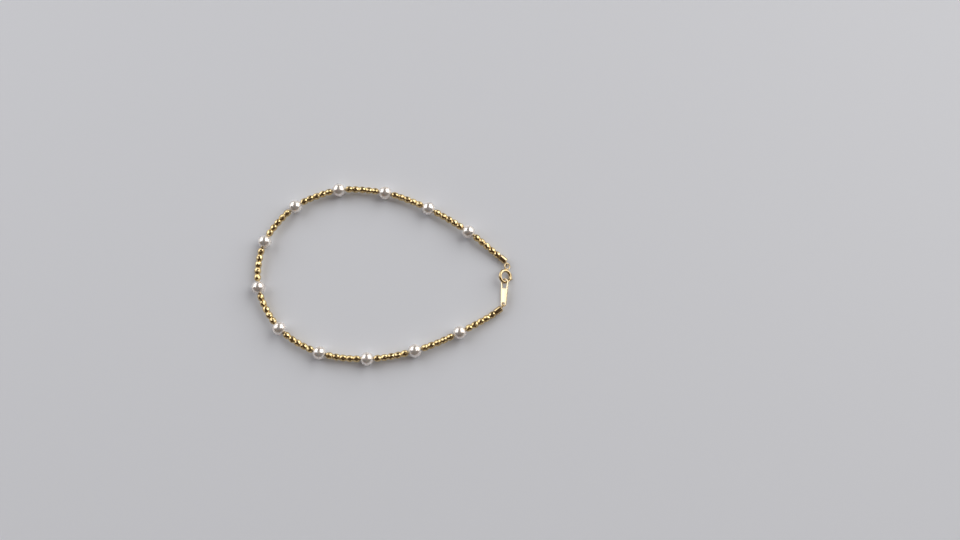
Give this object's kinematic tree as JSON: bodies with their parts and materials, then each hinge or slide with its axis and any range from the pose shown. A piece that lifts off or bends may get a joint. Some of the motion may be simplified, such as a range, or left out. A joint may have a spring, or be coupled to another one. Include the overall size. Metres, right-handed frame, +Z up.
{
  "type": "pearl bracelet",
  "caption": "Fastened pearl and gold bead bracelet lying flat as a closed loop, with end tubes, a sprung ring clasp and a small bare tag.",
  "frame": {"origin": "middle of the bracelet's outline seen from above, on the surface that the pearls rest on", "axes": "+X across the loop towards the clasp, its longest extent; +Z up, out of the surface, its shortest extent; +Y completes the frame"},
  "size_m": [0.0766, 0.0546, 0.004],
  "materials": {
    "pearl": "glossy nacre",
    "gold": "polished, facet cut",
    "pale_gold": "polished pale gold",
    "wire": "satin"
  },
  "bodies": {
    "bracelet": {"pearl_01": "pearl", "pearl_02": "pearl", "pearl_03": "pearl", "pearl_04": "pearl", "pearl_05": "pearl", "pearl_06": "pearl", "pearl_07": "pearl", "pearl_08": "pearl", "pearl_09": "pearl", "pearl_10": "pearl", "pearl_11": "pearl", "pearl_12": "pearl", "gold_run_01": "gold", "gold_run_02": "gold", "gold_run_03": "gold", "gold_run_04": "gold", "gold_run_05": "gold", "gold_run_06": "gold", "gold_run_07": "gold", "gold_run_08": "gold", "gold_run_09": "gold", "gold_run_10": "gold", "gold_run_11": "gold", "gold_run_12": "gold", "gold_run_13": "gold", "beading_wire": "wire", "ring_end_tube": "gold", "tag_end_tube": "gold", "spring_ring": "gold", "tag": "pale_gold"},
    "clasp_bolt": {"spring_ring_bolt": "gold"}
  },
  "joints": [
    {"name": "clasp_bolt_turn", "type": "hinge", "parent": "bracelet", "child": "clasp_bolt", "pos_m": [0.03614, -0.00099, 0.00145], "axis": [0.4991, -0.0305, 0.866], "range_deg": [0, 48], "stiffness_Nm_per_rad": 0.0003, "springref_deg": -20.05}
  ]
}
